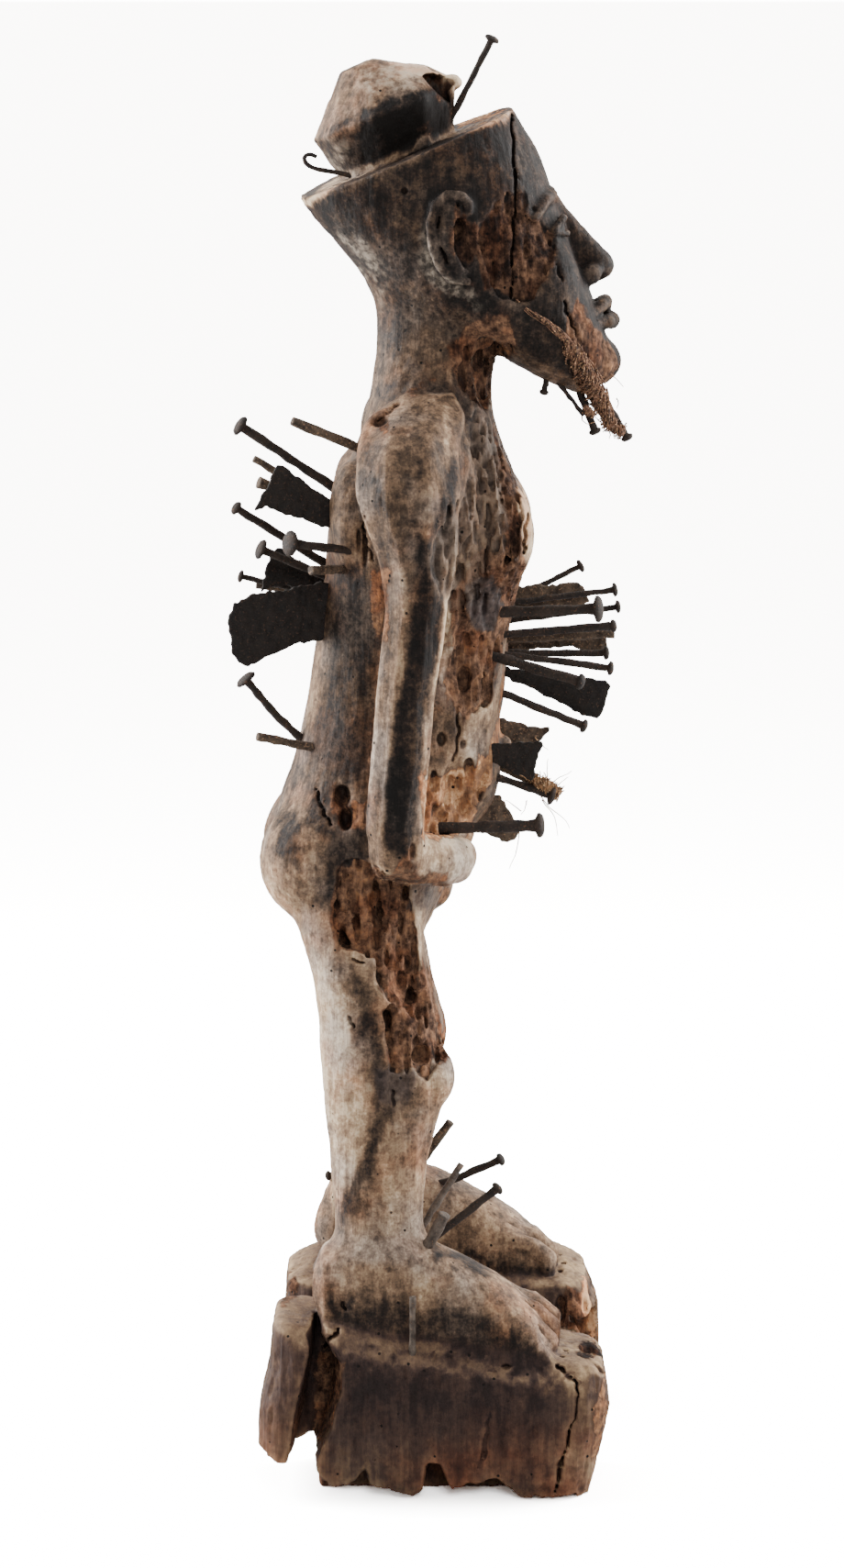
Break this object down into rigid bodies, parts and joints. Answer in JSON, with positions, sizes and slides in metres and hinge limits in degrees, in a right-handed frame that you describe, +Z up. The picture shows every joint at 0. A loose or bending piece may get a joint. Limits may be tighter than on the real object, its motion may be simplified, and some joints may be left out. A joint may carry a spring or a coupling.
{
  "type": "nkisi nkondi figure",
  "caption": "Carved wooden figure with a flat-topped head and cap, standing on foot blocks, with iron nails, rods and blades driven in and fibre bound round some.",
  "frame": {"origin": "on the floor under the middle of the whole object's box", "axes": "+Z up, +X the way the figure faces, +Y to its left"},
  "size_m": [0.3016, 0.304, 1.0822],
  "materials": {
    "wood": "old hand-carved wood, dusty grey-brown patina, orange rot in its hollows",
    "iron": "forged, dark, lightly rusted",
    "rusty_iron": "forged, brown rust",
    "black_iron": "sheet iron, black and pitted",
    "fibre": "dry twisted plant fibre"
  },
  "bodies": {
    "root": {"wood_figure": "wood", "back_rod_1": "rusty_iron", "back_nail_1": "iron", "back_rod_2": "rusty_iron", "back_peg_1": "rusty_iron", "back_nail_2": "iron", "back_nail_3": "iron", "back_nail_4": "iron", "back_rod_3": "rusty_iron", "back_nail_5": "iron", "back_rod_4": "rusty_iron", "back_nail_6": "iron", "back_rod_5": "rusty_iron", "chest_nail_1": "iron", "chest_nail_2": "iron", "chest_nail_3": "iron", "chest_nail_4": "iron", "chest_nail_5": "iron", "chest_rod_1": "rusty_iron", "chest_nail_6": "iron", "chest_nail_7": "iron", "chest_nail_8": "iron", "chest_nail_9": "iron", "belly_rod_1": "rusty_iron", "belly_nail_1": "iron", "belly_nail_2": "iron", "crown_nail": "iron", "left_shin_rod": "rusty_iron", "left_ankle_nail": "iron", "right_ankle_rod": "rusty_iron", "right_ankle_nail": "iron", "right_ankle_peg": "rusty_iron", "left_heel_nail": "iron", "right_block_nail": "rusty_iron", "cap_hook": "iron", "back_blade_1": "black_iron", "back_blade_2": "black_iron", "back_blade_3": "black_iron", "chest_blade_1": "rusty_iron", "chest_blade_2": "rusty_iron", "chest_blade_3": "black_iron", "belly_blade_1": "rusty_iron", "belly_blade_2": "black_iron", "belly_blade_3": "rusty_iron", "beard_nail_1": "iron", "beard_nail_2": "iron", "beard_rod": "iron", "jaw_pin": "iron", "beard_fibre": "fibre", "belly_fibre": "fibre"}
  },
  "joints": []
}
